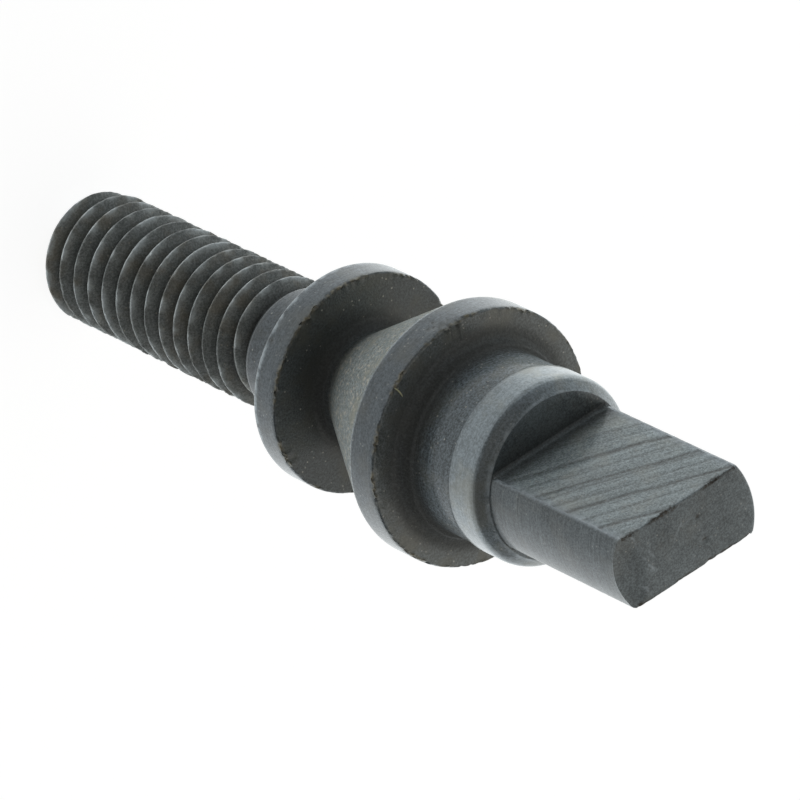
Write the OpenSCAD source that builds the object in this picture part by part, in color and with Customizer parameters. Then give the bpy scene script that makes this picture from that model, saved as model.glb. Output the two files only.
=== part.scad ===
// A turned screw: a threaded end, two collars with a groove between them, and a flat tang.
// It stands on its threaded tip, because it would roll if it lay on its round collars.
// The origin is the middle of the tip, the axis is Z, and the tang's flats face front and back.

/* [Thread] */
// Outer diameter over the crests
thread_d = 5.8; // [4:0.05:8]
// Distance from crest to crest
pitch = 1; // [0.7:0.05:1.5]
// Height of the ridge above the root
thread_depth = 0.57; // [0.3:0.01:0.65]
// Included angle between the flanks
flank_angle = 60; // [50:1:65]
// Width of the flat on each crest
crest_w = 0.12; // [0.05:0.01:0.2]
// Length of the end from the tip to the seat
threaded_end_l = 17.6; // [8:0.1:30]
// Angle round the axis at which the thread starts
thread_start = 228; // [0:1:359]
// Part of a turn over which the ridge rises at the tip
lead_in = 0.2; // [0.05:0.05:0.5]
// Part of a turn over which the ridge fades out at the shank
run_out = 0.3; // [0.05:0.05:0.5]

/* [Shank] */
// Diameter of the plain shank under the small collar
shank_d = 5.5; // [5:0.05:7]
// Length of the plain shank, with its tapered end
shank_l = 3.45; // [1.5:0.05:6]
// Taper at the shank's threaded end, along the axis
shank_taper_l = 0.35; // [0.1:0.05:0.6]
// Taper at the shank's threaded end, across the radius
shank_taper_h = 0.25; // [0.05:0.05:0.4]

/* [Collars] */
// Diameter of the small collar
small_collar_d = 9.5; // [8:0.1:12]
// Width of the small collar
small_collar_w = 1.4; // [0.8:0.05:3]
// Diameter of the large collar
large_collar_d = 11; // [9:0.1:14]
// Width of the large collar
large_collar_w = 1.45; // [0.8:0.05:3]
// Break on each sharp edge
edge_break = 0.12; // [0.02:0.01:0.25]

/* [Groove] */
// Diameter at the bottom of the groove
groove_d = 4.8; // [3.5:0.1:6]
// Width of the straight bottom of the groove
groove_bottom_w = 0.6; // [0.5:0.05:1.5]
// Angle between the axis and the groove's conical side
groove_cone_angle = 30; // [20:1:40]
// Fillet in the corner beside the small collar
groove_fillet = 0.5; // [0.1:0.05:0.5]

/* [Neck and shoulder] */
// Diameter of the neck beside the large collar
neck_d = 7.8; // [6.5:0.1:8.8]
// Length of the neck
neck_l = 2.95; // [1.5:0.05:6]
// Fillet between the neck and the large collar
neck_fillet = 0.8; // [0.1:0.05:0.8]
// Height of the shoulder band above the neck
shoulder_step = 0.1; // [0.05:0.01:0.4]
// Width of the shoulder band
shoulder_w = 1.5; // [0.8:0.05:3]
// Chamfer on the shoulder, along the axis and across the radius
shoulder_chamfer = 0.5; // [0.1:0.05:0.6]

/* [Tang] */
// Diameter of the tang's round sides
tang_d = 6.95; // [5.5:0.05:7]
// Thickness across the two flats
tang_t = 3.25; // [2:0.05:4.5]
// Length of the tang beyond the shoulder
tang_l = 7.85; // [4:0.05:15]
// Fillet where each flat meets the shoulder
flat_fillet = 0.3; // [0.05:0.05:0.5]
// Hollow facet at one corner of the tang's end, along the axis
end_facet_l = 0.35; // [0.1:0.05:0.8]
// Hollow facet at one corner of the tang's end, across it
end_facet_w = 1.35; // [0.5:0.05:2]
// Radius of the hollow
end_facet_r = 4; // [3:0.1:10]

/* [Hidden] */
$fn = 96;

// Facets in one turn of the thread
turn_facets = 40;
// Small overlap that makes cuts and joins clean
overlap = 0.2;

crest_r = thread_d / 2;
root_r = crest_r - thread_depth;
flank_w = thread_depth * tan(flank_angle / 2);
ridge_w = crest_w + 2 * flank_w;

// Heights along the axis, counted from the tip
seat_z = threaded_end_l;
shank_z = seat_z - shank_l;
groove_z = seat_z + small_collar_w;
cone_z = groove_z + groove_bottom_w;
large_collar_z = cone_z + (large_collar_d - groove_d) / 2 / tan(groove_cone_angle);
neck_z = large_collar_z + large_collar_w;
shoulder_z = neck_z + neck_l;
tang_z = shoulder_z + shoulder_w + shoulder_chamfer;
end_z = tang_z + tang_l;
shoulder_r = neck_d / 2 + shoulder_step;

// The ridge starts at the tip, and ends where its last turn runs into the shank
thread_steps = floor((shank_z / pitch - 1 + (ridge_w / 2) / pitch) * turn_facets);
lead_steps = lead_in * turn_facets;
run_steps = run_out * turn_facets;

// One corner of the thread: step along the helix, distance past the ridge's foot, share of its height
function thread_point(step, along, share) =
    let (
        z = pitch * step / turn_facets + along,
        fade = max(0, min(1, step / lead_steps, (thread_steps - step) / run_steps)),
        r = root_r + min(thread_depth, z) * share * fade
    )
    ring_point(step, r, z);

function ring_point(step, r, z) =
    let (angle = thread_start + 360 * step / turn_facets)
    [r * cos(angle), r * sin(angle), z];

// Threaded rod as one closed form: four corners at each step, then the last foot line and the end rings
module threaded_rod() {
    corners = [[0, 0], [flank_w, 1], [flank_w + crest_w, 1], [ridge_w, 0]];
    last_z = pitch * (thread_steps / turn_facets + 1);
    ridge_points = [
        for (step = [0 : thread_steps])
            for (corner = corners)
                thread_point(step, corner[0], corner[1])
    ];
    foot_points = [
        for (step = [thread_steps + 1 : thread_steps + turn_facets])
            thread_point(step, 0, 0)
    ];
    tip_ring = [for (step = [1 : turn_facets - 1]) ring_point(step, root_r, 0)];
    shank_ring = [for (step = [1 : turn_facets - 1]) ring_point(thread_steps + step, root_r, last_z)];

    function ridge(step, corner) = 4 * step + corner;
    function foot(step) =
        step <= thread_steps ? ridge(step, 0) : 4 * (thread_steps + 1) + step - thread_steps - 1;
    function tip(step) =
        step % turn_facets == 0 ? ridge(0, 0) : len(ridge_points) + turn_facets + step - 1;
    function top(step) =
        step % turn_facets == 0
            ? foot(thread_steps + turn_facets)
            : len(ridge_points) + turn_facets + len(tip_ring) + step - 1;

    ridge_faces = [
        for (step = [0 : thread_steps - 1])
            for (corner = [0 : 3])
                let (
                    low = ridge(step, corner),
                    low_next = ridge(step + 1, corner),
                    high = corner < 3 ? ridge(step, corner + 1) : foot(step + turn_facets),
                    high_next = corner < 3 ? ridge(step + 1, corner + 1) : foot(step + 1 + turn_facets)
                )
                each [[low, high, high_next], [low, high_next, low_next]]
    ];
    tip_faces = [
        for (step = [0 : turn_facets - 2])
            each step == 0
                ? [[tip(0), foot(1), tip(1)]]
                : [[tip(step), foot(step), foot(step + 1)], [tip(step), foot(step + 1), tip(step + 1)]]
    ];
    tip_seam = [
        tip(turn_facets - 1), foot(turn_facets - 1), foot(turn_facets),
        ridge(0, 3), ridge(0, 2), ridge(0, 1), ridge(0, 0)
    ];
    top_seam = [for (corner = [0 : 3]) ridge(thread_steps, corner)];
    first_top = concat([foot(thread_steps + 1)], top_seam, [top(0), top(1)]);
    top_faces = [
        for (step = [1 : turn_facets - 1])
            let (
                low = foot(thread_steps + step),
                low_next = foot(thread_steps + step + 1)
            )
            each step < turn_facets - 1
                ? [[low, top(step), top(step + 1)], [low, top(step + 1), low_next]]
                : [[low, top(step), low_next]]
    ];
    tip_cap = [for (step = [0 : turn_facets - 1]) tip(step)];
    top_cap = [for (step = [turn_facets - 1 : -1 : 0]) top(step)];
    polyhedron(
        points = concat(ridge_points, foot_points, tip_ring, shank_ring),
        faces = concat(ridge_faces, tip_faces, [tip_seam], [first_top], top_faces, [tip_cap], [top_cap])
    );
}

// Rounding in an inside corner of a turned outline, at radius r and height z
module corner_fillet(radius, r, z) {
    translate([r, z])
        difference() {
            translate([-overlap, -overlap])
                square(radius + overlap);
            translate([radius, radius])
                circle(radius);
        }
}

// Half outline of the turned blank: radius across, height along the axis upwards
module blank_outline() {
    shank_r = shank_d / 2;
    small_r = small_collar_d / 2;
    large_r = large_collar_d / 2;
    groove_r = groove_d / 2;
    neck_r = neck_d / 2;
    tang_r = tang_d / 2;
    polygon([
        [0, shank_z],
        [shank_r - shank_taper_h, shank_z],
        [shank_r, shank_z + shank_taper_l],
        [shank_r, seat_z],
        [small_r - edge_break, seat_z],
        [small_r, seat_z + edge_break],
        [small_r, groove_z - edge_break],
        [small_r - edge_break, groove_z],
        [groove_r, groove_z],
        [groove_r, cone_z],
        [large_r - edge_break * tan(groove_cone_angle), large_collar_z - edge_break],
        [large_r, large_collar_z + edge_break],
        [large_r, neck_z - edge_break],
        [large_r - edge_break, neck_z],
        [neck_r, neck_z],
        [neck_r, shoulder_z],
        [shoulder_r, shoulder_z],
        [shoulder_r, shoulder_z + shoulder_w],
        [shoulder_r - shoulder_chamfer, tang_z],
        [tang_r, tang_z],
        [tang_r, end_z - edge_break],
        [tang_r - edge_break, end_z],
        [0, end_z]
    ]);
    corner_fillet(groove_fillet, groove_r, groove_z);
    corner_fillet(neck_fillet, neck_r, neck_z);
}

// Space that the cutter clears over the back flat, with a rounded corner at the shoulder
module flat_cut() {
    reach = shoulder_r + overlap;
    translate([reach, tang_t / 2, tang_z])
        rotate([0, -90, 0])
            linear_extrude(2 * reach)
                difference() {
                    square([tang_l + overlap, reach]);
                    corner_fillet(flat_fillet, 0, 0);
                }
}

// Hollow at one corner of the tang's end, cut by a ball that meets the end and the round side
module end_facet() {
    chord = norm([end_facet_w, end_facet_l]);
    reach = sqrt(pow(end_facet_r, 2) - pow(chord / 2, 2));
    ball_x = tang_d / 2 - end_facet_w / 2 + reach * end_facet_l / chord;
    ball_z = end_z - end_facet_l / 2 + reach * end_facet_w / chord;
    translate([ball_x, 0, ball_z])
        sphere(end_facet_r);
}

module screw() {
    color([0.2, 0.21, 0.21]) {
        difference() {
            rotate_extrude()
                blank_outline();
            flat_cut();
            mirror([0, 1, 0])
                flat_cut();
            end_facet();
        }
        threaded_rod();
    }
}

screw();
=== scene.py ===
import math

import bmesh
import bpy
import numpy as np
from mathutils import Matrix, Vector, noise
from numpy.linalg import norm


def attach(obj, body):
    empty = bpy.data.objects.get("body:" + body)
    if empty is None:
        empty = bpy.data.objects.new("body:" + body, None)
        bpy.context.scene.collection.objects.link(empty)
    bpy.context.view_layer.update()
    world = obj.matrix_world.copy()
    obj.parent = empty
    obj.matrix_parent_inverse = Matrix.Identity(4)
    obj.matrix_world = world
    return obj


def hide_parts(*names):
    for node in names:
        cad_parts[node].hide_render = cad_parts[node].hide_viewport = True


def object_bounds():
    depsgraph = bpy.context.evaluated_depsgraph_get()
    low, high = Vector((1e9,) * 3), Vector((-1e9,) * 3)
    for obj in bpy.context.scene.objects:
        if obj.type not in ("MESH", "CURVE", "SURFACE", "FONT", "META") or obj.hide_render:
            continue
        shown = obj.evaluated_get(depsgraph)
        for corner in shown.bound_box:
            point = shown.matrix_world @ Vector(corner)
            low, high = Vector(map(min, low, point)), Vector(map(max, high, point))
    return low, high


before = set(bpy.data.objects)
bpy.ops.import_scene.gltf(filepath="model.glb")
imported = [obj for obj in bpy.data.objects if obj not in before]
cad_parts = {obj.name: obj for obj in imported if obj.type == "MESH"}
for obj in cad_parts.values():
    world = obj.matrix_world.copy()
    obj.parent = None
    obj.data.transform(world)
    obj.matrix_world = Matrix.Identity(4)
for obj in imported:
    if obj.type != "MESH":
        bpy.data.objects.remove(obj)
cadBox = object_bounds()
mm = 0.001
tiny = 1e-9
print("frame loaded, box", [[round(v / mm, 2) for v in corner] for corner in cadBox])

# Lengths of the turned steps in millimetres, with the radii and the angle of the groove's cone
turnedSteps = {
    "threadedEnd": 17.6,
    "shank": 3.45,
    "smallCollar": 1.4,
    "grooveBottom": 0.6,
    "coneFoot": 2.4,
    "coneTop": 5.5,
    "coneAngle": 30,
    "largeCollar": 1.45,
    "neck": 2.95,
    "band": 1.5,
    "chamfer": 0.5,
}
coneRise = turnedSteps["coneTop"] - turnedSteps["coneFoot"]

# Heights along the axis, counted from the threaded tip
seatHeight = turnedSteps["threadedEnd"]
shankHeight = seatHeight - turnedSteps["shank"]
grooveHeight = seatHeight + turnedSteps["smallCollar"]
coneHeight = grooveHeight + turnedSteps["grooveBottom"]
largeHeight = coneHeight + coneRise / math.tan(math.radians(turnedSteps["coneAngle"]))
neckHeight = largeHeight + turnedSteps["largeCollar"]
bandHeight = neckHeight + turnedSteps["neck"]
chamferHeight = bandHeight + turnedSteps["band"]
tangHeight = chamferHeight + turnedSteps["chamfer"]
endHeight = cadBox[1][2] / mm

# Where new nodes are put, in columns and in the order they are made
nodeLayout = {"start": (-2200, 300), "spacing": (220, 260), "perColumn": 6}


# Small helpers for node trees
def addNode(tree, kind, **settings):
    node = tree.nodes.new(kind)
    column, row = divmod(len(tree.nodes), nodeLayout["perColumn"])
    (left, top), (across, down) = nodeLayout["start"], nodeLayout["spacing"]
    node.location = (left + across * column, top - down * row)
    for key, value in settings.items():
        setattr(node, key, value)
    return node


def feed(tree, inputs, values):
    # gives each input, by its name or number, a link or a plain value
    for key, value in values.items():
        if isinstance(value, bpy.types.NodeSocket):
            tree.links.new(value, inputs[key])
        else:
            inputs[key].default_value = value


def mathNode(tree, operation, *values):
    node = addNode(tree, "ShaderNodeMath", operation=operation)
    feed(tree, node.inputs, dict(enumerate(values)))
    return node.outputs[0]


def times(tree, a, b, plus=0.0):
    return mathNode(tree, "MULTIPLY_ADD", a, b, plus)


def mixValue(tree, factor, a, b):
    node = addNode(tree, "ShaderNodeMix", data_type="FLOAT")
    feed(tree, node.inputs, {0: factor, 2: a, 3: b})
    return node.outputs[0]


def mixColour(tree, factor, a, b):
    node = addNode(tree, "ShaderNodeMix", data_type="RGBA")
    feed(tree, node.inputs, {0: factor, 6: a, 7: b})
    return node.outputs[2]


def remap(tree, value, low, high, toLow=0.0, toHigh=1.0):
    node = addNode(tree, "ShaderNodeMapRange", interpolation_type="SMOOTHSTEP")
    feed(tree, node.inputs, dict(enumerate((value, low, high, toLow, toHigh))))
    return node.outputs[0]


def dotNode(tree, vector, way):
    node = addNode(tree, "ShaderNodeVectorMath", operation="DOT_PRODUCT")
    feed(tree, node.inputs, {0: vector, 1: way})
    return node.outputs["Value"]


def scaleNode(tree, vector, factor):
    node = addNode(tree, "ShaderNodeVectorMath", operation="SCALE")
    feed(tree, node.inputs, {0: vector, "Scale": factor})
    return node.outputs[0]


def millimetres(tree):
    place = addNode(tree, "ShaderNodeTexCoord").outputs["Object"]
    return scaleNode(tree, place, 1 / mm)


def noiseNode(tree, vector, scale, detail, rough):
    node = addNode(tree, "ShaderNodeTexNoise")
    feed(tree, node.inputs, {"Vector": vector, "Scale": scale, "Detail": detail, "Roughness": rough})
    return node.outputs["Fac"]


def painted(tree, name):
    return addNode(tree, "ShaderNodeAttribute", attribute_name=name).outputs["Fac"]


def newGroup(name, inputs, outputs):
    group = bpy.data.node_groups.new(name, "ShaderNodeTree")
    for label, value in inputs.items():
        kind = "NodeSocketFloat" if isinstance(value, float) else "NodeSocketVector"
        socket = group.interface.new_socket(label, in_out="INPUT", socket_type=kind)
        socket.default_value = value
    for label in outputs:
        group.interface.new_socket(label, in_out="OUTPUT", socket_type="NodeSocketFloat")
    return group, addNode(group, "NodeGroupInput").outputs, addNode(group, "NodeGroupOutput").inputs


def newMaterial(name):
    material = bpy.data.materials.new(name)
    material.use_nodes = True
    return material, material.node_tree, material.node_tree.nodes["Principled BSDF"].inputs


def placeGroup(tree, group, **values):
    node = addNode(tree, "ShaderNodeGroup", node_tree=group)
    feed(tree, node.inputs, values)
    return node.outputs


# The screw is one mesh, gathered from patches: millimetres, axis Z, tip at zero
finishNames = ("turnedSteel", "threadSteel", "tangSteel", "lintFibre")
paintNames = ("wear", "burr", "milled", "grainy", "streak", "paleAndLit", "grimeAndShade", "warm")
gathered = {name: [] for name in ("points", "faces", "slots") + paintNames}


def addPatch(points, faces, finish, **paint):
    points = np.asarray(points, float).reshape(-1, 3)
    start = sum(len(p) for p in gathered["points"])
    gathered["points"].append(points)
    gathered["faces"] += [[corner + start for corner in face] for face in faces]
    gathered["slots"] += [finishNames.index(finish)] * len(faces)
    for name in paintNames:
        values = np.ravel(paint.get(name, 0.0))
        gathered[name].append(np.broadcast_to(values, len(points)))


def gridFaces(rows, columns):
    r, c = np.meshgrid(np.arange(rows - 1), np.arange(columns), indexing="ij")
    n = (c + 1) % columns
    corners = [r * columns + c, r * columns + n, (r + 1) * columns + n, (r + 1) * columns + c]
    return np.stack(corners, -1).reshape(-1, 4).tolist()


seedShift = (7.13, 3.71, 5.37)  # each seed looks at another part of the same noise


def ripple(points, scale, seed):
    offset = Vector([seed * shift for shift in seedShift])
    values = [noise.noise(Vector(p) * scale + offset) for p in np.reshape(points, (-1, 3))]
    return np.reshape(values, np.shape(points)[:-1])


def layered(points, layers):
    return sum(amount * ripple(points, scale, seed) for scale, seed, amount in layers)


def patches(points, middle, swing, scale, seed, least):
    # a share between least and one that comes and goes over the surface
    return np.clip(middle + swing * ripple(points, scale, seed), least, 1)


def degreesFrom(turn, degrees):
    return (degrees - turn + 180) % 360 - 180


def onCircle(degrees):
    return np.array([math.cos(math.radians(degrees)), math.sin(math.radians(degrees))])


def joinRings(first, second, finish, **paint):
    # a narrow strip between two closed rings that have different numbers of points
    def inOrder(ring):
        angles = np.arctan2(ring[:, 1], ring[:, 0]) % (2 * math.pi)
        order = np.argsort(angles, kind="stable")
        return ring[order], angles[order]

    (a, aAngle), (b, bAngle) = inOrder(first), inOrder(second)
    i = j = 0
    faces = []
    while i < len(a) or j < len(b):
        nextA = aAngle[(i + 1) % len(a)] + 2 * math.pi * (i + 1 >= len(a))
        nextB = bAngle[(j + 1) % len(b)] + 2 * math.pi * (j + 1 >= len(b))
        fromA, fromB = i % len(a), len(a) + j % len(b)
        if j >= len(b) or (i < len(a) and nextA <= nextB):
            faces.append([fromA, (i + 1) % len(a), fromB])
            i += 1
        else:
            faces.append([fromA, len(a) + (j + 1) % len(b), fromB])
            j += 1
    ends = {name: [old] * len(a) + [new] * len(b) for name, (old, new) in paint.items()}
    addPatch(np.concatenate([a, b]), faces, finish, **ends)


turnedBody = {
    "columns": 320,
    "rowStep": 0.32,
    "rimStep": 0.14,  # rows are closer on the rims of the collars
    "rimFrom": 4.7,  # least radius of a rim
    "arcStep": 0.07,
    "arcPieces": (3, 9),  # least and most pieces in a rounded corner
    "widest": 5.494,
    # height, radius, rounding, light wear, brown burr, then grain and paleness of the stretch after it;
    # the paleness is partly the steel's tone and partly painted light, most on the cone and the recessed
    # faces
    "corners": [
        # the shank is painted darker: a painted shadow under the small collar
        (shankHeight, 2.36, 0.00, 0.0, 0.0, 0.3, -0.3),
        (shankHeight, 2.50, 0.05, 0.2, 0.0, 0.3, -0.3),
        (shankHeight + 0.35, 2.75, 0.50, 0.2, 0.0, 0.4, -0.3),
        (seatHeight - 1.2, 2.75, 0.00, 0.0, 0.0, 0.4, 0.3),
        (seatHeight, 2.75, 0.12, 0.0, 0.0, 0.3, 0.2),
        (seatHeight, 4.75, 0.14, 0.9, 0.0, 0.25, 0.0),
        (seatHeight + 0.16, 4.75, 0.00, 1.0, 0.0, 0.25, 0.0),
        (grooveHeight, 4.75, 0.10, 0.1, 0.9, 0.7, 0.3),
        (grooveHeight, 4.53, 0.00, 0.0, 0.0, 0.7, 0.3),
        (grooveHeight, 2.40, 0.50, 0.0, 0.0, 1.0, 1.5),
        (coneHeight, 2.40, 0.40, 0.0, 0.0, 1.3, 4.6),
        (largeHeight, 5.49, 0.30, 0.25, 0.1, 0.25, 0.0),
        (neckHeight, 5.49, 0.10, 0.1, 1.0, 0.7, 1.2),
        (neckHeight, 5.27, 0.00, 0.0, 0.0, 0.7, 1.2),
        (neckHeight, 3.90, 0.80, 0.0, 0.0, 0.9, 0.9),
        (neckHeight + 1.7, 3.90, 0.00, 0.0, 0.0, 0.8, 1.35),
        (bandHeight, 3.90, 0.04, 0.0, 0.0, 0.6, 1.6),
        (bandHeight, 4.00, 0.05, 0.4, 0.0, 0.15, 1.8),
        (chamferHeight, 4.00, 0.55, 0.0, 0.0, 0.3, 1.2),
        (tangHeight - 0.15, 3.664, 0.00, 0.0, 0.0, 0.5, 1.2),
        (tangHeight - 0.06, 3.578, 0.00, 0.8, 0.0, 0.5, 1.2),
        (tangHeight, 3.52, 0.00, 0.5, 0.0, 0.5, 1.2),
    ],
    "edgeReach": 0.13,
    # scale, seed and amount of the slow waves and of the rough rims, in millimetres
    "waves": [(0.55, 1, 0.008)],
    "burrs": [(5.5, 2, 0.19), (13.0, 3, 0.114)],
    "burrInward": 0.4,  # share of the roughness that eats into the rim
    "burrPatches": (0.6, 1.6, 0.8, 8, 0.25),  # middle, swing, scale, seed, least
    "wearPatches": (0.8, 1.3, 3.0, 13, 0.3),  # middle, swing, scale, seed, least
    # height, radius, reach and strength of the painted shade, partly grime, in the inner corners
    "grimeAndShade": [(grooveHeight + 0.20, 2.60, 0.55, 1.0), (coneHeight + 0.1, 2.45, 0.55, 0.8),
              (neckHeight + 0.42, 4.04, 0.60, 1.0), (neckHeight + 0.06, 4.45, 0.40, 0.85)],
    # painted light: upright surfaces are painted paler on the side where the light falls
    "paintedLitSide": (221.0, 36.0, 0.75),  # paler on one side: degrees, width, amount
    "nickGrimeAndShade": 0.9,
    # degrees round the axis, height, width, depth of small nicks in the rims
    "nicks": [(273.4, 25.6, 0.09, 0.04), (272.6, 26.1, 0.11, 0.05), (271.0, 26.35, 0.10, 0.05),
              (275.5, 25.9, 0.08, 0.04), (277.5, 25.75, 0.09, 0.04), (269.0, 26.0, 0.07, 0.03),
              (274.6, 26.2, 0.07, 0.04), (267.0, 26.4, 0.10, 0.05), (311.8, 17.9, 0.11, 0.06),
              (118.0, 25.5, 0.10, 0.05), (64.0, 18.3, 0.09, 0.04), (190.0, 26.2, 0.08, 0.04)],
}


def roundCorner(settings, before, here, after, rounding):
    # points on the arc that rounds a corner, each with its share of the way
    before, after = before - here, after - here
    before /= norm(before)
    after /= norm(after)
    half = math.acos(np.clip(before @ after, -1, 1)) / 2
    middle = (before + after) / norm(before + after)
    centre = here + middle * rounding / math.sin(half)
    first = here + before * rounding / math.tan(half) - centre
    last = here + after * rounding / math.tan(half) - centre
    least, most = settings["arcPieces"]
    pieces = int(rounding * (math.pi - 2 * half) / settings["arcStep"])
    pieces = max(least, min(most, pieces))
    for k in range(pieces + 1):
        share = k / pieces
        spoke = first * (1 - share) + last * share
        yield share, centre + spoke * rounding / norm(spoke)


def turnedLine(settings):
    # height, radius, grain and paleness along the outline, with its corners rounded
    corners = settings["corners"]
    line = []
    for i, (z, r, rounding, _, _, *stretch) in enumerate(corners):
        if rounding == 0:
            line.append((z, r, *stretch))
            continue
        before, here, after = (np.array(corner[:2]) for corner in corners[i - 1:i + 2])
        for share, place in roundCorner(settings, before, here, after, rounding):
            blend = [old * (1 - share) + new * share for old, new in zip(corners[i - 1][5:], stretch)]
            line.append((*place, *blend))
    return np.array(line)


def softSpots(rows, spots):
    strongest = np.zeros(len(rows))
    for z, r, reach, strength in spots:
        gap = np.hypot(rows[:, 0] - z, rows[:, 1] - r) / reach
        strongest = np.maximum(strongest, strength * np.exp(-gap ** 2))
    return strongest


def turnedProfile(settings):
    line = turnedLine(settings)
    rows = [line[0]]
    for a, b in zip(line[:-1], line[1:]):
        onRim = a[1] == b[1] and a[1] > settings["rimFrom"]
        step = settings["rimStep" if onRim else "rowStep"]
        pieces = max(1, int(norm((b - a)[:2]) / step + 0.5))
        rows += [a + (b - a) * k / pieces for k in range(1, pieces + 1)]
    rows = np.array(rows)
    corners, reach = settings["corners"], settings["edgeReach"]
    wear = softSpots(rows, [(z, r, reach, light) for z, r, _, light, *_ in corners])
    burr = softSpots(rows, [(z, r, reach, brown) for z, r, _, _, brown, *_ in corners])
    return rows, wear, burr, softSpots(rows, settings["grimeAndShade"])


def makeTurnedBody(settings):
    rows, wear, burr, grimeAndShade = turnedProfile(settings)
    columns = settings["columns"]
    angles = np.linspace(0, 2 * math.pi, columns, endpoint=False)
    spread = (np.repeat(v[:, None], columns, 1) for v in (*rows.T, wear, burr, grimeAndShade))
    z, r, grainy, paleAndLit, wear, burr, grimeAndShade = spread
    around = np.stack([np.cos(angles), np.sin(angles)], -1)
    points = np.concatenate([r[..., None] * around, z[..., None]], -1)
    rough = layered(points, settings["burrs"])
    burr = burr * patches(points, *settings["burrPatches"])
    wear = wear * patches(points, *settings["wearPatches"])
    # painted light: upright surfaces are painted paler on one side, where the light falls, and the level
    # faces are warmer
    slope = np.gradient(rows[:, :2], axis=0)
    upright = np.abs(slope[:, :1]) / np.maximum(norm(slope, axis=1, keepdims=True), tiny)
    turn, width, amount = settings["paintedLitSide"]
    away = degreesFrom(turn, np.degrees(angles))
    paleAndLit = (1 + paleAndLit) * (1 + amount * upright * np.exp(-(away / width) ** 2)) - 1
    push = layered(points, settings["waves"]) - settings["burrInward"] * np.abs(rough) * burr
    for turn, height, width, depth in settings["nicks"]:
        sideways = norm(points[..., :2] - r[..., None] * onCircle(turn), axis=-1)
        reach = np.hypot(sideways, z - height)
        dent = np.exp(-(reach / width) ** 2)
        push -= depth * dent
        # the dents get the same painted shade, partly grime, as the inner corners
        grimeAndShade = np.maximum(grimeAndShade, settings["nickGrimeAndShade"] * dent)
    hold = np.ones((len(rows), 1))
    hold[[0, -1]] = 0  # the end rings stay true, so that the patches meet
    points[..., :2] = np.minimum(r + push * hold, settings["widest"])[..., None] * around
    points[..., 2] = z + rough * burr * hold
    paint = {"wear": wear, "burr": burr, "grainy": grainy, "paleAndLit": paleAndLit, "grimeAndShade": grimeAndShade}
    paint["warm"] = np.repeat(1 - upright, columns, 1)
    addPatch(points, gridFaces(len(rows), columns), "turnedSteel", **paint)
    return points[0], points[-1]


shankRing, shoulderRing = makeTurnedBody(turnedBody)
print("turned body ready")

threadedEnd = {
    "crest": 2.9,
    "root": 2.33,
    "pitch": 1.0,
    "crestWidth": 0.12,
    "flank": 0.329,
    "turns": 13.525,
    "startAngle": 228.0,
    "firstStep": -0.6,  # the ridge climbs out of the flat tip
    "leadIn": 0.3,
    "runOut": 0.3,
    "fadeLength": 0.25,
    "columns": 170,
    # half of the ridge: share of the flank, share of the crest, share of the height, wear
    "halfRidge": [(0.0, 0.0, 0.02, 0.0), (0.5, 0.0, 0.5, 0.0), (0.95, 0.0, 0.92, 0.8),
                  (1.0, 0.3, 0.99, 1.0)],
    "crestRough": 0.035,
    "flankRough": 0.016,
    "mostRaised": 0.008,  # worn more than raised
    "roughLayers": [(1.8, 4), (6.5, 5)],  # scale and seed, coarse and fine
    "crestPatches": (0.45, 1.6, 1.3, 9, 0.1),  # middle, swing, scale, seed, least
    "grainy": 0.8,
    "rootBurr": 0.35,
    "paleAndLit": 0.6,
    # painted shade in the roots of the thread
    "rootPaintedShade": 1.0,
    "crestDarker": 0.7,  # where the crest isn't worn
    "tipPaler": (1.2, 0.35),  # amount and reach
    "capRings": 10,
    "capCurve": 0.8,
    "capGrainy": 0.6,
}


def threadLanes(settings):
    # across one pitch: distance past the foot, share of the ridge's height, wear
    flank, crest = settings["flank"], settings["crestWidth"]
    ridge = crest + 2 * flank
    half = [(flank * f + crest * c, share, worn) for f, c, share, worn in settings["halfRidge"]]
    otherHalf = [(ridge - along, share, worn) for along, share, worn in reversed(half)]
    return half + otherHalf + [((ridge + settings["pitch"]) / 2, 0.0, 0.0)]


def threadFaces(laneCount, columns, perTurn):
    faces = []
    for lane in range(laneCount - 1):
        first = lane * columns
        faces += [[a, a + 1, a + 1 + columns, a + columns] for a in range(first, first + columns - 1)]
        if lane + 1 + perTurn < laneCount:  # step up to the next turn
            last, up = first + columns - 1, first + perTurn * columns
            faces.append([last, up, up + columns, last + columns])
    return faces


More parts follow.
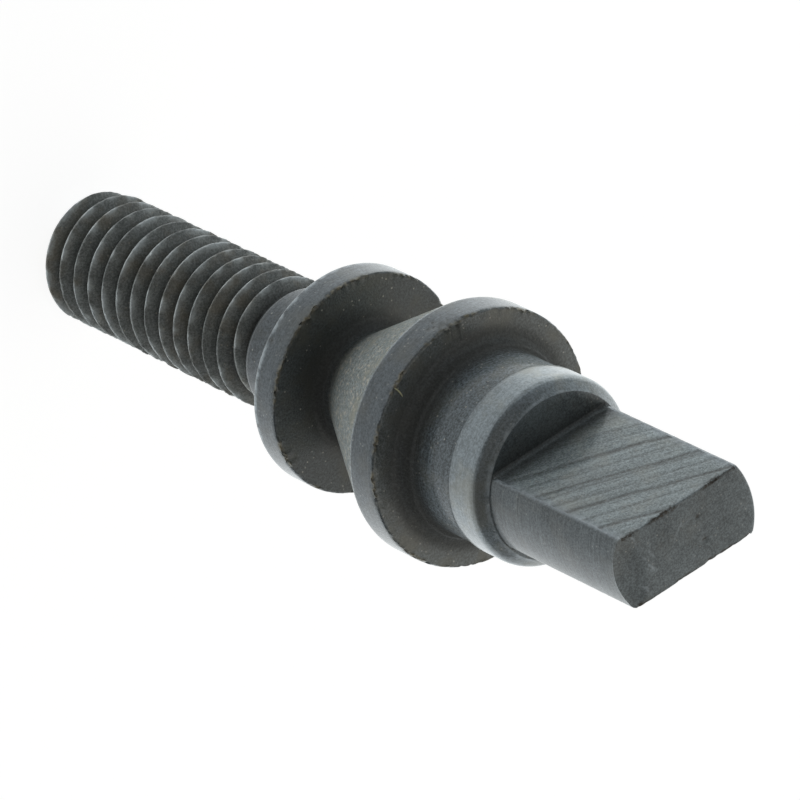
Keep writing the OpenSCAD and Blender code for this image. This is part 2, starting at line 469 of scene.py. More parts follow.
def makeThreadedEnd(settings):
    lanes = threadLanes(settings)
    depth = settings["crest"] - settings["root"]
    columns = settings["columns"]
    column = np.arange(columns)
    angles = np.radians(settings["startAngle"] + 360.0 * column / columns)
    rows, light, low = [], [], []
    for turn in range(-1, int(settings["turns"]) + 2):
        step = turn + column / columns
        rise = (step - settings["firstStep"]) / settings["leadIn"]
        fall = (settings["turns"] - step) / settings["runOut"]
        for along, share, worn in lanes:
            z = np.clip(settings["pitch"] * step + along, 0.0, shankHeight)
            fade = np.clip(np.minimum(rise, fall), 0, 1)
            fade *= np.clip((shankHeight - z) / settings["fadeLength"], 0, 1)
            r = settings["root"] + np.minimum(depth, z) * share * fade
            rows.append(np.stack([r * np.cos(angles), r * np.sin(angles), z], -1))
            light.append(fade * worn)
            low.append(np.full(columns, 1 - share))
    points, light, low = np.array(rows), np.array(light), np.array(low)
    z = points[..., 2]
    free = (z > 0) & (z < shankHeight)  # the tip and the shank's ring stay true
    coarse, fine = (ripple(points, scale, seed) for scale, seed in settings["roughLayers"])
    bumps = settings["crestRough"] * (coarse + fine) * light
    push = np.minimum(bumps - settings["flankRough"] * np.abs(fine), settings["mostRaised"])
    points[..., :2] *= (1 + push * free / np.hypot(points[..., 0], points[..., 1]))[..., None]
    points[..., 2] = np.clip(z + bumps * free, 0, shankHeight)
    patchy = patches(points, *settings["crestPatches"])
    paler, reach = settings["tipPaler"]
    # painted shade: the roots of the thread are painted darker
    paleAndLit = settings["paleAndLit"] - settings["rootPaintedShade"] * low + paler * np.exp(-(points[..., 2] / reach) ** 2)
    paleAndLit -= settings["crestDarker"] * light * (1 - patchy)
    burr = settings["rootBurr"] * low * patchy
    paint = {"wear": light * patchy, "burr": burr, "grainy": settings["grainy"], "paleAndLit": paleAndLit}
    addPatch(points, threadFaces(len(rows), columns, len(lanes)), "threadSteel", **paint)
    # the flat end, in rings down to the middle
    count = settings["capRings"]
    shares = [(1 - k / count) ** settings["capCurve"] for k in range(count + 1)]
    rings = settings["root"] * np.array(shares)
    cap = np.zeros((len(rings), columns, 3))
    cap[..., 0] = rings[:, None] * np.cos(angles)
    cap[..., 1] = rings[:, None] * np.sin(angles)
    addPatch(cap, gridFaces(len(rings), columns), "threadSteel", grainy=settings["capGrainy"])
    return points[-1]


threadRing = makeThreadedEnd(threadedEnd)
*_, shankGrainy, shankShade = turnedBody["corners"][0]
shankSeam = {"grainy": (threadedEnd["grainy"], shankGrainy), "paleAndLit": (shankShade, shankShade)}
joinRings(threadRing, shankRing, "threadSteel", **shankSeam)
print("threaded end ready")

tangEnd = {
    "radius": 3.475,
    "half": 1.64,
    "shoulderRadius": 3.5,
    "cornerRound": 0.22,
    "rootFillet": (0.20, 0.8),  # radius, and its most as a share of the wall's height
    "endRound": (0.18, 0.06),  # at the round sides, at the flats
    "softColumns": 3,  # columns over which one becomes the other
    "frontColumns": 90,
    "backColumns": 44,
    "sideColumns": 26,
    "cornerColumns": 7,
    "edgeColumns": 7,  # how far the wear reaches from the long edges
    "wallRows": 5,
    "rootRows": 6,
    "rows": 88,
    "edgeRows": 5,
    "capRings": 32,
    "capCurve": 1.25,  # the rings are closer near the edge
    "millWay": (0.479, 0.878),  # share of x and of z across the cutter's marks
    "millDepth": 0.016,
    "flatFrom": 0.3,  # distance from the axis at which a flat's own side counts
    "fineDepth": 0.6,  # depth and tone of the fine marks against the deep ones
    "fineTone": 0.2,
    # place across the marks, width and strength of the deepest ones
    "streaks": [(12.6, 0.10, 0.5), (14.1, 0.13, 1.0), (14.9, 0.07, 0.5), (15.72, 0.10, 0.9),
                (16.0, 0.07, 0.7), (16.7, 0.08, 0.5), (17.44, 0.12, 1.0), (18.2, 0.08, 0.6),
                (19.1, 0.12, 0.9)],
    "streakWander": [(0.05, 0.8, 2.1), (0.02, 3.1, 1.0)],  # amount, waves per length, shift of each mark
    "fineWander": [(0.04, 0.7, 1.0)],
    "fineMarks": 60,
    "fineSeed": 11,
    "finePlaces": (9, 21),
    "fineWidths": (0.04, 0.09),
    "fineStrengths": (0.1, 0.45),
    "fineMost": 0.7,
    "markFree": (0.8, 2.0),  # length beside the shoulder where marks are faint, and of the change
    "faintDeep": 0.35,
    "faintFine": 0.3,
    "flatPale": 2.25,
    "wallPale": 0.3,
    "endPale": 0.45,
    "grainy": 0.5,
    "sideGrainy": 0.4,
    "flatGrainy": 0.6,  # on top of the sides' grain
    "capGrainy": 0.6,
    "wallWear": 0.4,
    "endWear": 0.25,
    # painted shade, partly grime, at the root of each flat
    "rootGrimeAndShade": (0.65, 0.6),  # strength and reach
    "endBurr": (0.17, 0.13),  # reach along the flats and over the end
    "burrPatches": (0.6, 1.8, 1.1, 10, 0.3),  # middle, swing, scale, seed, least
    "roughLayers": [(4.0, 6, 1.0), (11.0, 7, 0.7)],  # scale, seed, amount
    "burrDrop": 0.05,
    "burrPull": (0.035, 0.4),  # amount, and how much of it is even
    "edgeZone": 0.3,  # length at either end of the tang where edges differ
    "endZone": 0.4,  # depth that still belongs to the end
    "skin": 0.01,  # depth that still counts as the face itself
    "facet": (1.35, 0.35, 9.0),  # hollow at one corner: across, along, radius
    "lipWidth": 0.02,
    "lipWear": (0.5, 2.0),  # even share, and how much the roughness changes it
    # x, y, width and depth of the pits in the end
    "pits": [(-0.81, 0.57, 0.13, 0.05), (-0.73, -0.55, 0.12, 0.05), (0.02, 0.36, 0.07, 0.03),
             (-0.35, 0.55, 0.06, 0.03), (1.1, -0.4, 0.07, 0.03), (-1.9, 0.3, 0.06, 0.03)],
    "pitBurr": 0.7,
    # from x, y to x, y, and strength of the bright scratches in the end
    "scratches": [(2.0, 0.1, 1.75, 0.55, 0.9), (1.9, -0.5, 1.7, -0.1, 0.7), (0.6, -0.25, 0.1, -0.75, 0.6),
                  (0.1, -0.6, -0.35, -0.65, 0.5), (2.5, 0.9, 2.3, 1.2, 0.8), (1.2, 0.3, 1.05, 0.5, 0.4)],
    "scratchWidth": 0.06,
    "spread": (158.0, 26.0, 2.2, 0.11),  # the end is beaten out a little: degrees, width, length, amount
}


def tangSection(settings):
    outer, half, c = settings["radius"], settings["half"], settings["cornerRound"]
    reach = math.sqrt((outer - c) ** 2 - (half - c) ** 2)
    side = math.atan2(half - c, reach)
    points, normals, flat = [], [], []

    def arc(cx, cy, radius, start, stop, count):
        for k in range(count):
            a = start + (stop - start) * (k + 0.5) / count
            points.append((cx + radius * math.cos(a), cy + radius * math.sin(a)))
            normals.append((math.cos(a), math.sin(a)))
            flat.append(0.0)

    def straight(fromX, y, count):
        for k in range(count + 1):
            points.append((fromX * (1 - 2 * k / count), y))
            normals.append((0.0, math.copysign(1, y)))
            flat.append(1.0)

    quarter = math.pi / 2
    corner, sides = settings["cornerColumns"], settings["sideColumns"]
    for sign, turn, columns in ((1, 0, settings["frontColumns"]), (-1, math.pi, settings["backColumns"])):
        straight(-sign * reach, -sign * half, columns)
        arc(sign * reach, sign * (c - half), c, turn - quarter, turn - side, corner)
        arc(0, 0, outer, turn - side, turn + side, sides)
        arc(sign * reach, sign * (half - c), c, turn + side, turn + quarter, corner)
    return np.array(points), np.array(normals), np.array(flat)


def tangRows(settings):
    section, normals, flat = tangSection(settings)
    count, zero, end = len(section), tangHeight, endHeight
    big = settings["shoulderRadius"]
    # where each column starts on the shoulder's inner edge
    spoke = section / norm(section, axis=1, keepdims=True) * big
    above = np.sign(section[:, 1]) * np.sqrt(np.maximum(0, big ** 2 - section[:, 0] ** 2))
    top = np.where(flat[:, None] > 0.5, np.stack([section[:, 0], above], -1), spoke)
    rise = norm(top - section, axis=1)
    way = (top - section) / np.maximum(rise, tiny)[:, None]
    radius, mostShare = settings["rootFillet"]
    fillet = np.minimum(radius, mostShare * rise)
    # nearness to the four long edges, and the rounding of the end
    near = np.zeros(count)
    for index in np.nonzero(np.diff(np.append(flat, flat[0])))[0]:
        away = np.abs((np.arange(count) - index - 0.5 + count / 2) % count - count / 2)
        near = np.maximum(near, np.clip(1 - away / settings["edgeColumns"], 0, 1))
    atSides, atFlats = settings["endRound"]
    soft = np.where(flat > 0.5, atFlats, atSides)
    reach = settings["softColumns"]
    soft = np.mean([np.roll(soft, k) for k in range(-reach, reach + 1)], axis=0)

    kinds = ("x", "y", "z", "milled", "wear", "burr", "grainy", "grimeAndShade")
    grid = {name: [] for name in kinds}

    def putRow(xy, z, milled=0.0, wear=0.0, burr=0.0, grainy=settings["grainy"], grimeAndShade=0.0):
        for name, value in zip(kinds, (*xy.T, z, milled, wear, burr, grainy, grimeAndShade)):
            grid[name].append(np.broadcast_to(value, count).astype(float))

    def shares(name):
        return [k / settings[name] for k in range(1, settings[name] + 1)]

    # painted shade, partly grime: the flats darken towards the wall at their root
    rootShadeAndDirt, rootShadeAndDirtReach = settings["rootGrimeAndShade"]
    alongFlat, overEnd = settings["endBurr"]
    for t in [0.0] + shares("wallRows"):  # wall over each flat
        inward = section + way * fillet[:, None] - top
        wear = settings["wallWear"] * (1 - t) ** 3
        putRow(top + inward * t, zero, wear=wear, grimeAndShade=rootShadeAndDirt * flat * t ** 3)
    for t in shares("rootRows"):  # rounded root
        a = t * math.pi / 2
        inward = (fillet * (1 - math.sin(a)))[:, None]
        z = zero + fillet * (1 - math.cos(a))
        putRow(section + way * inward, z, flat * t, grimeAndShade=rootShadeAndDirt * flat)
    grainy = settings["sideGrainy"] + settings["flatGrainy"] * flat
    for t in shares("rows"):  # along the tang
        z = zero + fillet + (end - soft - zero - fillet) * t
        edge = flat * np.exp(-((end - z) / alongFlat) ** 2)
        fade = rootShadeAndDirt * flat * np.exp(-((z - zero - fillet) / rootShadeAndDirtReach) ** 2)
        putRow(section, z, flat, near, edge, grainy, fade)
    for t in shares("edgeRows"):  # rounded edge of the end
        a = t * math.pi / 2
        rim = section - normals * (soft * (1 - math.cos(a)))[:, None]
        putRow(rim, end - soft * (1 - math.sin(a)), flat * (1 - t), settings["endWear"], flat)
    for t in shares("capRings"):  # end face, in rings to the middle
        size = 1 - t ** settings["capCurve"]
        edge = flat * np.exp(-(norm(rim * (1 - size), axis=1) / overEnd) ** 2)
        putRow(rim * size, end, burr=edge, grainy=settings["capGrainy"])
    return {name: np.array(rows) for name, rows in grid.items()}


def beatOutEnd(settings, grid):
    turn, width, length, amount = settings["spread"]
    x, y, z = grid["x"], grid["y"], grid["z"]
    away = degreesFrom(turn, np.degrees(np.arctan2(y, x)))
    share = np.exp(-(away / width) ** 2) * np.clip(1 - (endHeight - z) / length, 0, 1) ** 2
    share *= np.clip(np.hypot(x, y) / settings["radius"], 0, 1) ** 3
    wayX, wayY = onCircle(turn)
    grid["x"] = x + amount * share * wayX
    grid["y"] = y + amount * share * wayY * (1 - grid["milled"])


def cutterMarks(settings, x, z):
    across = x * settings["millWay"][0] + (z - seatHeight) * settings["millWay"][1]
    picks = np.random.default_rng(settings["fineSeed"])
    deep, shallow = np.zeros_like(across), np.zeros_like(across)

    def mark(k, wander, place, width, strength):
        bend = sum(amount * np.sin(x * waves + shift * k) for amount, waves, shift in wander)
        return strength * np.exp(-((across + bend - place) / width) ** 2)

    for k, streak in enumerate(settings["streaks"]):
        deep += mark(k, settings["streakWander"], *streak)
    for k in range(settings["fineMarks"]):
        place = picks.uniform(*settings["finePlaces"])
        width = picks.uniform(*settings["fineWidths"])
        strength = picks.uniform(*settings["fineStrengths"])
        shallow += mark(k, settings["fineWander"], place, width, strength)
    start, length = settings["markFree"]
    outward = np.clip((z - tangHeight - start) / length, 0, 1)
    faintDeep, faintFine = settings["faintDeep"], settings["faintFine"]
    deep = np.minimum(deep, 1) * (faintDeep + (1 - faintDeep) * outward)
    shallow = np.minimum(shallow, settings["fineMost"]) * (faintFine + (1 - faintFine) * outward)
    return deep, shallow


def millFlats(settings, grid):
    deep, shallow = cutterMarks(settings, grid["x"], grid["z"])
    y, milled = grid["y"], grid["milled"]
    grid["side"] = np.where(np.abs(y) > settings["flatFrom"], np.sign(y), 0)
    depth = (deep + settings["fineDepth"] * shallow) * settings["millDepth"]
    grid["y"] = y - grid["side"] * milled * depth
    grid["streak"] = milled * np.clip(deep + settings["fineTone"] * shallow, 0, 1)


def gridPoints(grid):
    return np.stack([grid["x"], grid["y"], grid["z"]], -1)


def roughenEdges(settings, grid):
    # uneven edges where the cutter left a burr
    points = gridPoints(grid)
    rough = layered(points, settings["roughLayers"])
    burr = grid["burr"] * patches(points, *settings["burrPatches"])
    atEnd = burr * (grid["z"] > endHeight - settings["edgeZone"])
    z = grid["z"] - np.abs(rough) * settings["burrDrop"] * atEnd
    edges = np.maximum(atEnd, grid["wear"] * (z > tangHeight + settings["edgeZone"]))
    pull, even = settings["burrPull"]
    grid["y"] = grid["y"] - grid["side"] * (rough + even) * pull * edges
    grid.update(z=z, burr=burr, rough=rough)


def pitEnd(settings, grid):
    for x, y, size, depth in settings["pits"]:
        gap = np.hypot(grid["x"] - x, grid["y"] - y) / size
        dent = np.exp(-gap ** 4) * (grid["z"] > endHeight - settings["skin"])
        grid["z"] = grid["z"] - depth * dent
        grid["burr"] = np.maximum(grid["burr"], settings["pitBurr"] * dent)


def scratchEnd(settings, grid):
    onEnd = (grid["z"] > endHeight - settings["endZone"]) * (1 - grid["milled"])
    for fromX, fromY, toX, toY, strength in settings["scratches"]:
        wayX, wayY = toX - fromX, toY - fromY
        x, y = grid["x"] - fromX, grid["y"] - fromY
        along = np.clip((x * wayX + y * wayY) / (wayX ** 2 + wayY ** 2), 0, 1)
        gap = np.hypot(x - along * wayX, y - along * wayY) / settings["scratchWidth"]
        grid["wear"] = np.maximum(grid["wear"], strength * np.exp(-gap ** 2) * onEnd)


def hollowCorner(settings, grid):
    # a ball cuts the end at one corner, and its lip is worn
    across, along, ball = settings["facet"]
    chord = math.hypot(across, along)
    reach = math.sqrt(ball ** 2 - chord ** 2 / 4)
    ballX = settings["radius"] - across / 2 + reach * along / chord
    ballZ = endHeight - along / 2 + reach * across / chord
    under = ball ** 2 - (grid["x"] - ballX) ** 2 - grid["y"] ** 2
    clear = endHeight + 1  # where the ball cuts nothing
    hollow = np.where(under > 0, ballZ - np.sqrt(np.maximum(under, 0)), clear)
    onEnd = grid["z"] > endHeight - settings["skin"]
    lip = np.exp(-((hollow - endHeight) / settings["lipWidth"]) ** 2) * onEnd
    even, swing = settings["lipWear"]
    grid["wear"] = np.maximum(grid["wear"], lip * np.clip(even + swing * grid["rough"], 0, 1))
    grid["z"] = np.minimum(grid["z"], hollow)


def makeTang(settings):
    grid = tangRows(settings)
    for change in (beatOutEnd, millFlats, roughenEdges, pitEnd, scratchEnd, hollowCorner):
        change(settings, grid)
    z, milled = grid["z"], grid["milled"]
    wall = settings["wallPale"] * (z < tangHeight + settings["skin"])
    paleAndLit = np.where(z > endHeight - settings["endZone"], settings["endPale"], wall)
    grid["paleAndLit"] = paleAndLit * (1 - milled) + settings["flatPale"] * milled
    points = gridPoints(grid)
    paint = {name: grid[name] for name in paintNames if name in grid}
    addPatch(points, gridFaces(*z.shape), "tangSteel", **paint)
    return points[0]


tangRing = makeTang(tangEnd)
*_, seamWear, _, seamGrainy, seamPale = turnedBody["corners"][-1]
tangSeam = {
    "grainy": (seamGrainy, tangEnd["grainy"]),
    "wear": (seamWear, tangEnd["wallWear"]),
    "paleAndLit": (seamPale, tangEnd["wallPale"]),
}
joinRings(shoulderRing, tangRing, "tangSteel", **tangSeam)
print("tang ready")

lint = {
    "sides": 6,
    "steps": 8,
    "radius": 0.032,
    "taper": 0.4,
    # start, bend and end of each fibre that clings to the large collar, with heights above its face
    "fibres": [((3.35, -4.37, 0.02), (3.20, -4.20, 0.16), (3.08, -3.79, 0.06))],
    "colour": (0.62, 0.60, 0.38, 1),
    "roughness": 0.9,
}


def makeLint(settings):
    ring = np.linspace(0, 2 * math.pi, settings["sides"], endpoint=False)[:, None]
    for start, bend, stop in np.array(settings["fibres"]) + (0, 0, neckHeight):
        rows = []
        for t in np.linspace(0, 1, settings["steps"] + 1):
            middle = start * (1 - t) ** 2 + 2 * bend * t * (1 - t) + stop * t ** 2
            along = (bend - start) * (1 - t) + (stop - bend) * t
            across = np.cross(along, (0, 0, 1))
            across /= norm(across)
            over = np.cross(across, along) / norm(along)
            radius = settings["radius"] * math.sin(math.pi * t) ** settings["taper"]
            rows.append(middle + radius * (np.cos(ring) * across + np.sin(ring) * over))
        addPatch(rows, gridFaces(len(rows), settings["sides"]), "lintFibre")


makeLint(lint)
print("lint ready")

screwMesh = {
    "weld": 0.0006,  # points of neighbouring patches closer than this are joined
    "sharpFrom": 38.0,  # degrees
}


def finishScrew(settings, materials):
    mesh = bpy.data.meshes.new("screwBody")
    mesh.from_pydata((np.concatenate(gathered["points"]) * mm).tolist(), [], gathered["faces"])
    mesh.polygons.foreach_set("material_index", np.array(gathered["slots"], np.int32))
    for name in paintNames:
        layer = mesh.attributes.new(name, "FLOAT", "POINT")
        layer.data.foreach_set("value", np.concatenate(gathered[name]).astype(np.float32))
    for material in materials:
        mesh.materials.append(material)
    shape = bmesh.new()
    shape.from_mesh(mesh)
    bmesh.ops.remove_doubles(shape, verts=shape.verts, dist=settings["weld"] * mm)
    bmesh.ops.recalc_face_normals(shape, faces=shape.faces)
    loose = sum(1 for edge in shape.edges if len(edge.link_faces) != 2)
    shape.to_mesh(mesh)
    shape.free()
    mesh.polygons.foreach_set("use_smooth", np.ones(len(mesh.polygons), bool))
    mesh.set_sharp_from_angle(angle=math.radians(settings["sharpFrom"]))
    piece = bpy.data.objects.new("screwBody", mesh)
    bpy.context.scene.collection.objects.link(piece)
    triangles = sum(len(face.vertices) - 2 for face in mesh.polygons)
    print("screw mesh:", triangles, "triangles,", loose, "edges without two faces")
    return piece


# Effects that the steel finishes share
grainLook = {
    # scale, detail and roughness of each noise, then the values that become zero and one
    "Grain": (None, 3.0, 0.7, 0.34, 0.68),  # each finish gives its own scale
    "Blotch": (3.2, 5.0, 0.72, 0.2, 0.8),
    "Stain": (0.6, 3.0, 0.6, 0.45, 0.72),
    "Flecks": (6.0, 3.0, 0.7, 0.50, 0.66),
    "fleckDraw": (1.0, 1.0, 0.3),  # flecks are long along the axis
    "speckScale": 6.0,
    "speckSize": (0.12, 0.32),
}


def grainGroup(settings):
    inputs = {"Grain Scale": 8.0, "Speck Share": 0.9}
    outputs = ("Grain", "Blotch", "Specks", "Stain", "Flecks")
    group, given, result = newGroup("steelGrain", inputs, outputs)
    place = millimetres(group)
    drawn = addNode(group, "ShaderNodeVectorMath", operation="MULTIPLY")
    feed(group, drawn.inputs, {0: place, 1: settings["fleckDraw"]})
    for label in ("Grain", "Blotch", "Stain", "Flecks"):
        scale, detail, rough, low, high = settings[label]
        vector = drawn.outputs[0] if label == "Flecks" else place
        cloud = noiseNode(group, vector, scale or given["Grain Scale"], detail, rough)
        feed(group, result, {label: remap(group, cloud, low, high)})
    dots = addNode(group, "ShaderNodeTexVoronoi", feature="F1")
    feed(group, dots.inputs, {"Vector": place, "Scale": settings["speckScale"]})
    small = remap(group, dots.outputs["Distance"], *settings["speckSize"], 1.0, 0.0)
    split = addNode(group, "ShaderNodeSeparateColor")
    feed(group, split.inputs, {0: dots.outputs["Color"]})
    rare = mathNode(group, "GREATER_THAN", split.outputs[0], given["Speck Share"])
    feed(group, result, {"Specks": times(group, small, rare)})
    return group


lineLook = {
    "drift": (0.35, 1.0, 0.5),  # scale, detail and roughness of the lines' slow drift
    "driftAmount": 0.12,
    "stretch": 0.35,  # the lines are long round the surface
    "cloud": (1.0, 3.0, 0.6),
    "range": (0.3, 0.7),
}


def linesGroup(settings):
    inputs = {"Across": (0.0, 0.0, 1.0), "Density": 12.0}
    group, given, result = newGroup("toolLines", inputs, ("Lines",))
    place = millimetres(group)
    drift = noiseNode(group, place, *settings["drift"])
    drift = times(group, drift, settings["driftAmount"])
    bent = mathNode(group, "ADD", dotNode(group, place, given["Across"]), drift)
    split = addNode(group, "ShaderNodeSeparateXYZ")
    feed(group, split.inputs, {0: place})
    pack = addNode(group, "ShaderNodeCombineXYZ")
    feed(group, pack.inputs, {0: times(group, bent, given["Density"])})
    for axis in (0, 1):
        long = times(group, split.outputs[axis], settings["stretch"])
        feed(group, pack.inputs, {axis + 1: long})
    cloud = noiseNode(group, pack.outputs[0], *settings["cloud"])
    feed(group, result, {"Lines": remap(group, cloud, *settings["range"])})
    return group


edgeLook = {
    "cloud": (3.0, 0.6),  # detail and roughness
    "range": (0.3, 0.65),
    "least": {"Wear": 0.7, "Burr": 0.35},
    "sharpen": (0.08, 0.9),
}


def edgeGroup(settings):
    group, given, result = newGroup("edgeTone", {"Break-up": 5.0}, ("Wear", "Burr"))
    cloud = noiseNode(group, millimetres(group), given["Break-up"], *settings["cloud"])
    for label, least in settings["least"].items():
        share = remap(group, cloud, *settings["range"], least, 1.0)
        share = times(group, painted(group, label.lower()), share)
        feed(group, result, {label: remap(group, share, *settings["sharpen"])})
    return group


steelGrain = grainGroup(grainLook)
toolLines = linesGroup(lineLook)
edgeTone = edgeGroup(edgeLook)

# What all the steel finishes have in common; a pair is a factor and what is added
steel = {
    "grainShare": (0.4, 0.5),
    "leastShade": -0.5,
    "paleWarm": 0.09,  # pale steel and the faces are a little warmer
    "faceWarm": 0.42,
    "specks": 0.65,
    "flecks": 2.8,
    "streak": (0.5, 0.35),
    "grimeAndShade": 0.9,
    "grimeAndShadeRough": 0.3,
    "grainDry": 0.5,
    "dryOil": 0.9,
    "coatRoughness": 0.16,
    "coatIndex": 1.6,
    "bumpDepth": 0.04,  # millimetres
    "bumpEven": 0.3,
}

finishes = {
    "turnedSteel": {
        "dark": (0.052, 0.063, 0.070, 1), "light": (0.112, 0.131, 0.146, 1), "contrast": (1.6, 0.5),
        "stain": (0.105, 0.105, 0.092, 1), "stainShare": 0.5,
        "worn": (0.45, 0.50, 0.53, 1), "wornShare": 0.7,
        "brown": (0.200, 0.170, 0.105, 1), "brownShare": 0.9,
        "speck": (0.88, 0.84, 0.74, 1), "speckShare": 0.90, "grainScale": 10.0,
        "lineDensity": 12.0, "lineShare": 0.22, "bump": 0.5, "roughness": (0.28, 0.40), "blasted": 0.34,
        "oil": 1.0, "grimeAndShade": (0.175, 0.178, 0.170, 1),
    },
    "threadSteel": {
        "dark": (0.156, 0.165, 0.160, 1), "light": (0.318, 0.335, 0.325, 1), "contrast": (0.7, 0.2),
        "stain": (0.240, 0.205, 0.150, 1), "stainShare": 0.55,
        "worn": (0.60, 0.64, 0.65, 1), "wornShare": 0.8,
        "brown": (0.070, 0.060, 0.046, 1), "brownShare": 0.5,
        "speck": (0.50, 0.46, 0.38, 1), "speckShare": 0.88, "grainScale": 11.0,
        "lineDensity": 9.0, "lineShare": 0.10, "bump": 0.35, "roughness": (0.34, 0.46), "blasted": 0.28,
        "oil": 0.7, "grimeAndShade": (0.030, 0.029, 0.026, 1),
    },
    "tangSteel": {
        "dark": (0.066, 0.078, 0.083, 1), "light": (0.142, 0.165, 0.175, 1), "contrast": (2.2, -0.8),
        "stain": (0.150, 0.150, 0.135, 1), "stainShare": 0.35,
        "worn": (0.45, 0.50, 0.54, 1), "wornShare": 0.55,
        "brown": (0.034, 0.025, 0.015, 1), "brownShare": 1.0,
        "speck": (0.55, 0.54, 0.50, 1), "speckShare": 0.90, "grainScale": 12.0,
        "lineDensity": 12.0, "lineShare": 0.30, "bump": 0.4, "roughness": (0.34, 0.46), "blasted": 0.28,
        "oil": 1.0, "grimeAndShade": (0.070, 0.072, 0.068, 1),
        "millAcross": (tangEnd["millWay"][0], 0.0, tangEnd["millWay"][1]), "millDensity": 7.0,
    },
}


def steelTone(tree, settings, grain, grainy):
    # mottled from zero to one: blotches, grain and the cutter's lines
    marks = placeGroup(tree, toolLines, Density=settings["lineDensity"])["Lines"]
    if "millAcross" in settings:
        values = {"Across": settings["millAcross"], "Density": settings["millDensity"]}
        milled = placeGroup(tree, toolLines, **values)["Lines"]
        marks = mixValue(tree, painted(tree, "milled"), marks, milled)
    grainShare = times(tree, grainy, *steel["grainShare"])
    tone = mixValue(tree, grainShare, grain["Blotch"], grain["Grain"])
    return mixValue(tree, settings["lineShare"], tone, marks)


def steelSparkle(tree, grain, grainy):
    # small specks, and longer flecks where the grain is above one
    specks = times(tree, grain["Specks"], grainy)
    specks = times(tree, specks, steel["specks"])
    above = mathNode(tree, "MAXIMUM", mathNode(tree, "SUBTRACT", grainy, 1.0), 0.0)
    flecks = times(tree, grain["Flecks"], above)
    flecks = times(tree, flecks, steel["flecks"])
    return mathNode(tree, "MAXIMUM", specks, flecks)


def steelColour(tree, settings, grain, grainy, grimeAndShade, tone):
    even, more = settings["contrast"]
    contrast = times(tree, grainy, more, even)
    shade = times(tree, mathNode(tree, "SUBTRACT", tone, 0.5), contrast, 0.5)
    shade = mathNode(tree, "MAXIMUM", shade, steel["leastShade"])
    colour = mixColour(tree, shade, settings["dark"], settings["light"])
    colour.node.clamp_factor = False  # bright grains pass the light tone
    paleAndLit = painted(tree, "paleAndLit")
    warm = times(tree, painted(tree, "warm"), steel["faceWarm"])
    warm = times(tree, paleAndLit, steel["paleWarm"], warm)
    stain = times(tree, grain["Stain"], settings["stainShare"], warm)
    colour = mixColour(tree, stain, colour, settings["stain"])
    # paleness, partly the steel's tone and partly painted light, brightens the colour
    colour = scaleNode(tree, colour, mathNode(tree, "ADD", paleAndLit, 1.0))
    colour = mixColour(tree, steelSparkle(tree, grain, grainy), colour, settings["speck"])
    edge = placeGroup(tree, edgeTone)
    worn = times(tree, edge["Wear"], settings["wornShare"])
    colour = mixColour(tree, worn, colour, settings["worn"])
    streak = times(tree, grain["Blotch"], *steel["streak"])
    streak = times(tree, painted(tree, "streak"), streak)
    brown = mathNode(tree, "MAXIMUM", edge["Burr"], streak)
    brown = times(tree, brown, settings["brownShare"])
    colour = mixColour(tree, brown, colour, settings["brown"])
    # painted shade, partly grime: the inner corners get a matte, even tone
    return mixColour(tree, times(tree, grimeAndShade, steel["grimeAndShade"]), colour, settings["grimeAndShade"])


def makeFinish(name, settings):
    material, tree, shader = newMaterial(name)
    grainValues = {"Grain Scale": settings["grainScale"], "Speck Share": settings["speckShare"]}
    grain = placeGroup(tree, steelGrain, **grainValues)
    grainy, grimeAndShade = painted(tree, "grainy"), painted(tree, "grimeAndShade")
    tone = steelTone(tree, settings, grain, grainy)
    colour = steelColour(tree, settings, grain, grainy, grimeAndShade, tone)
    smooth, dull = settings["roughness"]
    rough = remap(tree, tone, 0.0, 1.0, dull, smooth)
    rough = times(tree, grainy, settings["blasted"], rough)
    rough = times(tree, grimeAndShade, steel["grimeAndShadeRough"], rough)
    feed(tree, shader, {"Base Color": colour, "Metallic": 1.0, "Roughness": rough})
    # an oil film, which lights the limbs
    dry = mathNode(tree, "MAXIMUM", grimeAndShade, times(tree, grainy, steel["grainDry"]))
    oil = times(tree, dry, -steel["dryOil"] * settings["oil"], settings["oil"])
    film, index = steel["coatRoughness"], steel["coatIndex"]
    feed(tree, shader, {"Coat Weight": oil, "Coat Roughness": film, "Coat IOR": index})
    bump = addNode(tree, "ShaderNodeBump")
    height = times(tree, tone, mathNode(tree, "ADD", grainy, steel["bumpEven"]))
    depth = steel["bumpDepth"] * mm
    feed(tree, bump.inputs, {"Strength": settings["bump"], "Distance": depth, "Height": height})
    feed(tree, shader, {"Normal": bump.outputs[0]})
    return material


def makeLintFinish(settings):
    material, tree, shader = newMaterial("lintFibre")
    feed(tree, shader, {"Base Color": settings["colour"], "Roughness": settings["roughness"]})
    return material


steels = [makeFinish(name, settings) for name, settings in finishes.items()]
screwBody = finishScrew(screwMesh, steels + [makeLintFinish(lint)])
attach(screwBody, "root")
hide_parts("screw")
print("screw finished")

# Floor, light and camera, in metres
studio = {
    "floorSize": 3.0,
    "floorTone": (0.36, 0.36, 0.36, 1),
    "floorWhite": (1.0, 1.0, 1.0, 1),
    "floorGlow": (0.94, 0.985, 1.0, 1),  # as the steel mirrors it
    "floorSeen": 0.88,  # leaves room below white for the shadow
    # the mirrored glow lessens one way: least glow, start, end, and the way
    "floorShade": (0.62, -0.008, 0.024, (0.652, -0.758, 0.0)),
    "ambient": (0.15, 0.155, 0.16, 1),
    # way to the light, its colour, and the nearness to that way at which it starts and is full
    "lobes": [((-0.45, 0.55, 0.70), (0.65, 0.645, 0.62, 1), 0.45, 0.98),
              ((-0.75, -0.65, 0.10), (0.40, 0.44, 0.47, 1), 0.65, 1.0),
              ((0.45, -0.52, 0.73), (0.26, 0.255, 0.24, 1), 0.75, 0.98)],
}


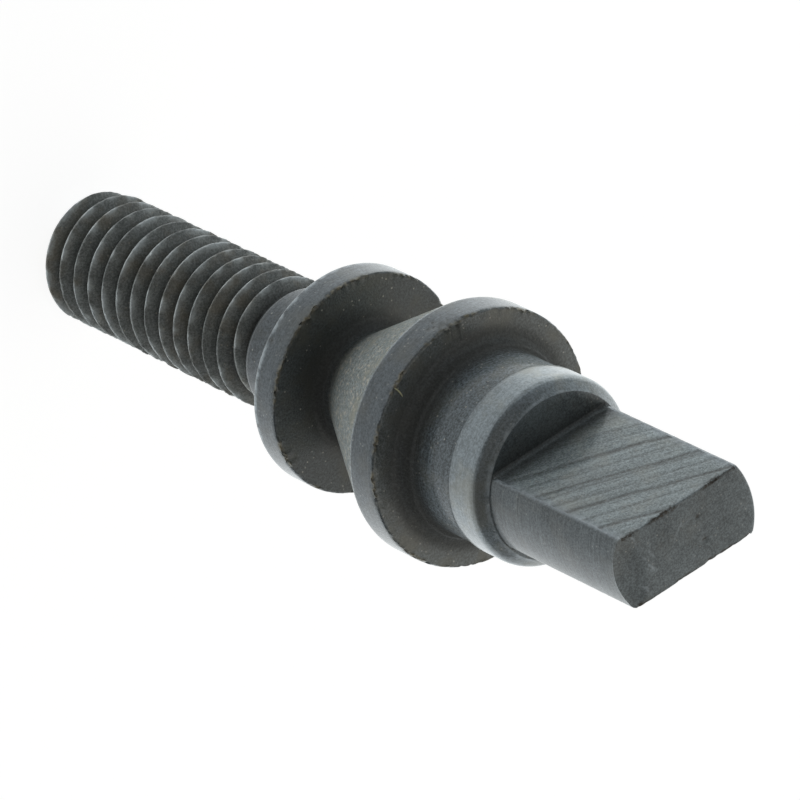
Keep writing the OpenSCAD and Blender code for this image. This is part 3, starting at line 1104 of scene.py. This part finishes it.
def makeFloorFinish(settings):
    material, tree, shader = newMaterial("paleFloor")
    feed(tree, shader, {"Base Color": settings["floorTone"], "Roughness": 1.0, "Specular IOR Level": 0.0})
    rays = addNode(tree, "ShaderNodeLightPath").outputs
    least, start, stop, way = settings["floorShade"]
    place = addNode(tree, "ShaderNodeTexCoord").outputs["Object"]
    mirrored = remap(tree, dotNode(tree, place, way), start, stop, 1.0, least)
    mirrored = times(tree, rays["Is Glossy Ray"], mirrored)
    seen = mathNode(tree, "MAXIMUM", rays["Is Camera Ray"], rays["Is Transmission Ray"])
    seen = times(tree, seen, settings["floorSeen"])
    tint = mixColour(tree, rays["Is Glossy Ray"], settings["floorWhite"], settings["floorGlow"])
    glow = mathNode(tree, "MAXIMUM", seen, mirrored)
    feed(tree, shader, {"Emission Color": tint, "Emission Strength": glow})
    return material


def makeFloor(settings):
    mesh = bpy.data.meshes.new("floor")
    half = settings["floorSize"] / 2
    corners = [(-half, -half, 0), (half, -half, 0), (half, half, 0), (-half, half, 0)]
    mesh.from_pydata(corners, [], [(0, 1, 2, 3)])
    mesh.materials.append(makeFloorFinish(settings))
    floor = bpy.data.objects.new("floor", mesh)
    bpy.context.scene.collection.objects.link(floor)
    floor.location.z = cadBox[0][2]


def makeLight(settings):
    world = bpy.data.worlds.new("softRoom")
    bpy.context.scene.world = world
    world.use_nodes = True
    tree = world.node_tree
    place = addNode(tree, "ShaderNodeTexCoord").outputs["Generated"]
    colour = settings["ambient"]
    for way, tint, start, full in settings["lobes"]:
        near = dotNode(tree, place, Vector(way).normalized())
        colour = mixColour(tree, remap(tree, near, start, full), colour, tint)
    feed(tree, tree.nodes["Background"].inputs, {"Color": colour, "Strength": 1.0})


makeFloor(studio)
makeLight(studio)

view = {
    "place": (0.138160, -0.160601, 0.245256),
    "right": (-0.75530, 0.21424, 0.61938),
    "up": (-0.47831, -0.82629, -0.29745),
    "back": (0.44806, -0.52092, 0.72656),
    "lens": 342.0,
    "sensor": 36.0,
}


def makeCamera(settings):
    camera = bpy.data.objects.new("camera", bpy.data.cameras.new("camera"))
    bpy.context.scene.collection.objects.link(camera)
    camera.data.sensor_width = settings["sensor"]
    camera.data.lens = settings["lens"]
    turn = Matrix((settings["right"], settings["up"], settings["back"])).transposed()
    camera.matrix_world = Matrix.Translation(settings["place"]) @ turn.to_4x4()
    bpy.context.scene.camera = camera


makeCamera(view)
bpy.context.scene.view_settings.view_transform = "Standard"
print("studio ready")
